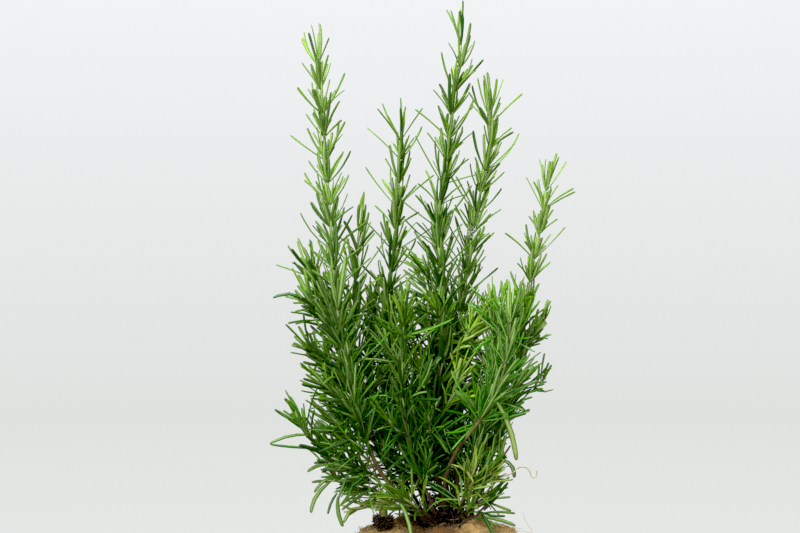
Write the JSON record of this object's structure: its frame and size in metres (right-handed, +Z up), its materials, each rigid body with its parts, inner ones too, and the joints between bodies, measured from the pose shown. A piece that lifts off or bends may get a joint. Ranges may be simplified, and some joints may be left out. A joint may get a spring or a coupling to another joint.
{
  "type": "potted rosemary plant",
  "caption": "Rosemary plant with tall and short shoots of narrow needle leaves, growing in a plant pot that stands in a sewn jute sack.",
  "frame": {"origin": "centre of the sack's flat base, on the face that it stands on", "axes": "+Z up along the plant; the pictured front faces -Y; +X is to the right as seen from the front"},
  "size_m": [0.222, 0.1517, 0.4947],
  "materials": {
    "jute": "coarse natural jute weave, matte and fuzzy",
    "pot": "thin moulded nursery plastic, matte",
    "soil": "dark crumbly potting soil",
    "leaf": "green needle leaves, satin above and pale below, on brown woody stems",
    "withered": "dried black-brown, dull"
  },
  "bodies": {
    "root": {"jute_sack": "jute", "plant_pot": "pot", "potting_soil": "soil", "withered_tuft": "withered", "left_tall_stem": "leaf", "left_short_stem": "leaf", "middle_tall_stem": "leaf", "middle_front_stem": "leaf", "middle_back_stem": "leaf", "centre_tall_stem": "leaf", "centre_back_stem": "leaf", "right_tall_stem": "leaf", "right_front_stem": "leaf", "right_inner_stem": "leaf", "low_left_stem": "leaf", "front_left_stem": "leaf", "low_right_stem": "leaf", "right_sprig": "leaf", "yellow_low_stem": "leaf", "back_left_stem": "leaf", "back_middle_stem": "leaf", "back_right_stem": "leaf", "low_back_stem": "leaf"}
  },
  "joints": []
}
